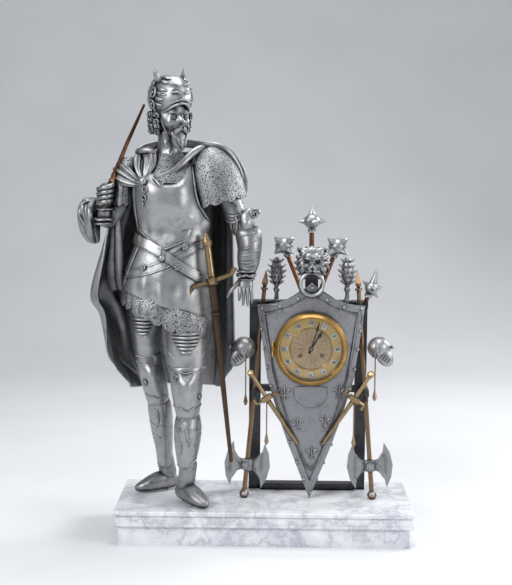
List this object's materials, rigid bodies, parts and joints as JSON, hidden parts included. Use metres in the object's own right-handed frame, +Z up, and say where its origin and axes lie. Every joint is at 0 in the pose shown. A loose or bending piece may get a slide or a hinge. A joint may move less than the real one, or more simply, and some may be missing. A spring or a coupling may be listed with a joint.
{
  "type": "figural mantel clock",
  "caption": "Mantel clock with an armoured knight in cast metal beside a shield-shaped dial front with a trophy of arms, on a marble base.",
  "frame": {"origin": "middle of the base's underside, on the surface that it stands on", "axes": "+Z up, -Y towards the front where the dial is read, +X to the viewer's right"},
  "size_m": [0.6233, 0.215, 0.8541],
  "materials": {
    "marble": "polished white marble with faint grey veins",
    "silvered_spelter": "silvered zinc casting with dark patina in the hollows",
    "mail_spelter": "silvered zinc casting, chased as mail",
    "cloth_spelter": "silvered zinc casting, chased as cloth, skin and hair",
    "gilt_bronze": "gilt bronze",
    "brown_copper": "copper-brown patinated bronze",
    "dark_casting": "dark patinated casting",
    "enamel": "white enamel with dark numerals",
    "glass": "clear flat glass",
    "blued_steel": "blued steel",
    "movement_brass": "lacquered brass",
    "steel": "bright steel",
    "bell_metal": "bell bronze"
  },
  "bodies": {
    "stand": {"axe_heads": "silvered_spelter", "back_plate": "movement_brass", "base_plinth": "marble", "base_slab": "marble", "bell": "bell_metal", "belts": "silvered_spelter", "boots": "cloth_spelter", "cape": "cloth_spelter", "cape_bundle": "cloth_spelter", "carried_sword": "brown_copper", "chain_tassels": "gilt_bronze", "cuirass": "silvered_spelter", "cuisses": "silvered_spelter", "daggers": "gilt_bronze", "dial_cartouches": "enamel", "dial_plate": "gilt_bronze", "drum_case": "movement_brass", "elbow_cop": "silvered_spelter", "front_plate": "movement_brass", "greaves": "silvered_spelter", "halberd_shafts": "brown_copper", "head": "cloth_spelter", "helmet": "silvered_spelter", "knee_cops": "silvered_spelter", "left_arm": "cloth_spelter", "left_hand": "cloth_spelter", "lion_mask": "silvered_spelter", "maces": "silvered_spelter", "mail_skirt": "mail_spelter", "mail_sleeves": "mail_spelter", "rear_bars": "dark_casting", "rear_posts": "dark_casting", "right_fist": "cloth_spelter", "scabbard": "brown_copper", "shield": "silvered_spelter", "shoulder_cape": "cloth_spelter", "small_helmets": "silvered_spelter", "spiked_clubs": "gilt_bronze", "sword_hilt": "gilt_bronze", "tassets": "silvered_spelter", "tie_rods": "steel"},
    "bezel_door": {"bezel": "gilt_bronze", "bezel_glass": "glass"},
    "case_door": {"back_door": "movement_brass"},
    "minute_train": {"centre_wheel": "movement_brass", "cannon_pinion": "movement_brass", "minute_hand": "blued_steel"},
    "hour_train": {"hour_wheel": "movement_brass", "hour_hand": "blued_steel"},
    "minute_wheel_body": {"minute_wheel": "movement_brass"},
    "going_barrel_body": {"going_barrel": "movement_brass"},
    "third_wheel_body": {"third_wheel": "movement_brass"},
    "escape_wheel_body": {"escape_wheel": "movement_brass"},
    "strike_barrel_body": {"strike_barrel": "movement_brass"},
    "going_arbor_body": {"going_arbor": "steel"},
    "strike_arbor_body": {"strike_arbor": "steel"},
    "pendulum_body": {"pendulum": "movement_brass"},
    "anchor_body": {"anchor": "steel"},
    "hammer_body": {"hammer": "steel"},
    "lion_ring": {"knocker_ring": "gilt_bronze"}
  },
  "joints": [
    {"name": "bezel_hinge", "type": "hinge", "parent": "stand", "child": "bezel_door", "pos_m": [0.0134, -0.0148, 0.3495], "axis": [0, 0, -1], "range_deg": [0, 95]},
    {"name": "case_door_hinge", "type": "hinge", "parent": "stand", "child": "case_door", "pos_m": [0.1525, 0.0763, 0.3495], "axis": [0, 0, -1], "range_deg": [0, 100]},
    {"name": "minute_spin", "type": "hinge", "parent": "stand", "child": "minute_train", "pos_m": [0.0845, 0, 0.3495], "axis": [0, 1, 0], "continuous": true},
    {"name": "hour_spin", "type": "hinge", "parent": "stand", "child": "hour_train", "pos_m": [0.0845, 0, 0.3495], "axis": [0, 1, 0], "continuous": true},
    {"name": "minute_wheel_spin", "type": "hinge", "parent": "stand", "child": "minute_wheel_body", "pos_m": [0.07601, 0, 0.35798], "axis": [0, 1, 0], "continuous": true},
    {"name": "going_barrel_spin", "type": "hinge", "parent": "stand", "child": "going_barrel_body", "pos_m": [0.1048, 0, 0.3371], "axis": [0, 1, 0], "continuous": true},
    {"name": "third_wheel_spin", "type": "hinge", "parent": "stand", "child": "third_wheel_body", "pos_m": [0.09048, 0, 0.36595], "axis": [0, 1, 0], "continuous": true},
    {"name": "escape_wheel_spin", "type": "hinge", "parent": "stand", "child": "escape_wheel_body", "pos_m": [0.0845, 0, 0.37937], "axis": [0, 1, 0], "continuous": true},
    {"name": "strike_barrel_spin", "type": "hinge", "parent": "stand", "child": "strike_barrel_body", "pos_m": [0.0642, 0, 0.3371], "axis": [0, 1, 0], "continuous": true},
    {"name": "going_winding", "type": "hinge", "parent": "stand", "child": "going_arbor_body", "pos_m": [0.1048, 0, 0.3371], "axis": [0, 1, 0], "continuous": true},
    {"name": "strike_winding", "type": "hinge", "parent": "stand", "child": "strike_arbor_body", "pos_m": [0.0642, 0, 0.3371], "axis": [0, 1, 0], "continuous": true},
    {"name": "pendulum_swing", "type": "hinge", "parent": "stand", "child": "pendulum_body", "pos_m": [0.0845, 0, 0.39153], "axis": [0, 1, 0], "range_deg": [-2, 2]},
    {"name": "anchor_rock", "type": "hinge", "parent": "stand", "child": "anchor_body", "pos_m": [0.0845, 0, 0.39153], "axis": [0, 1, 0], "range_deg": [-2, 2]},
    {"name": "hammer_lift", "type": "hinge", "parent": "stand", "child": "hammer_body", "pos_m": [0.12035, 0, 0.3702], "axis": [0, 1, 0], "range_deg": [0, 14]},
    {"name": "ring_swing", "type": "hinge", "parent": "stand", "child": "lion_ring", "pos_m": [0.0845, -0.014, 0.492], "axis": [-1, 0, 0], "range_deg": [0, 60]}
  ],
  "couplings": [
    {"joint": "hour_spin", "follows": "minute_spin", "ratio": 0.083333},
    {"joint": "minute_wheel_spin", "follows": "minute_spin", "ratio": -0.33333},
    {"joint": "going_barrel_spin", "follows": "minute_spin", "ratio": -0.22222},
    {"joint": "third_wheel_spin", "follows": "minute_spin", "ratio": -6},
    {"joint": "escape_wheel_spin", "follows": "minute_spin", "ratio": 36},
    {"joint": "anchor_rock", "follows": "pendulum_swing", "ratio": 1}
  ]
}
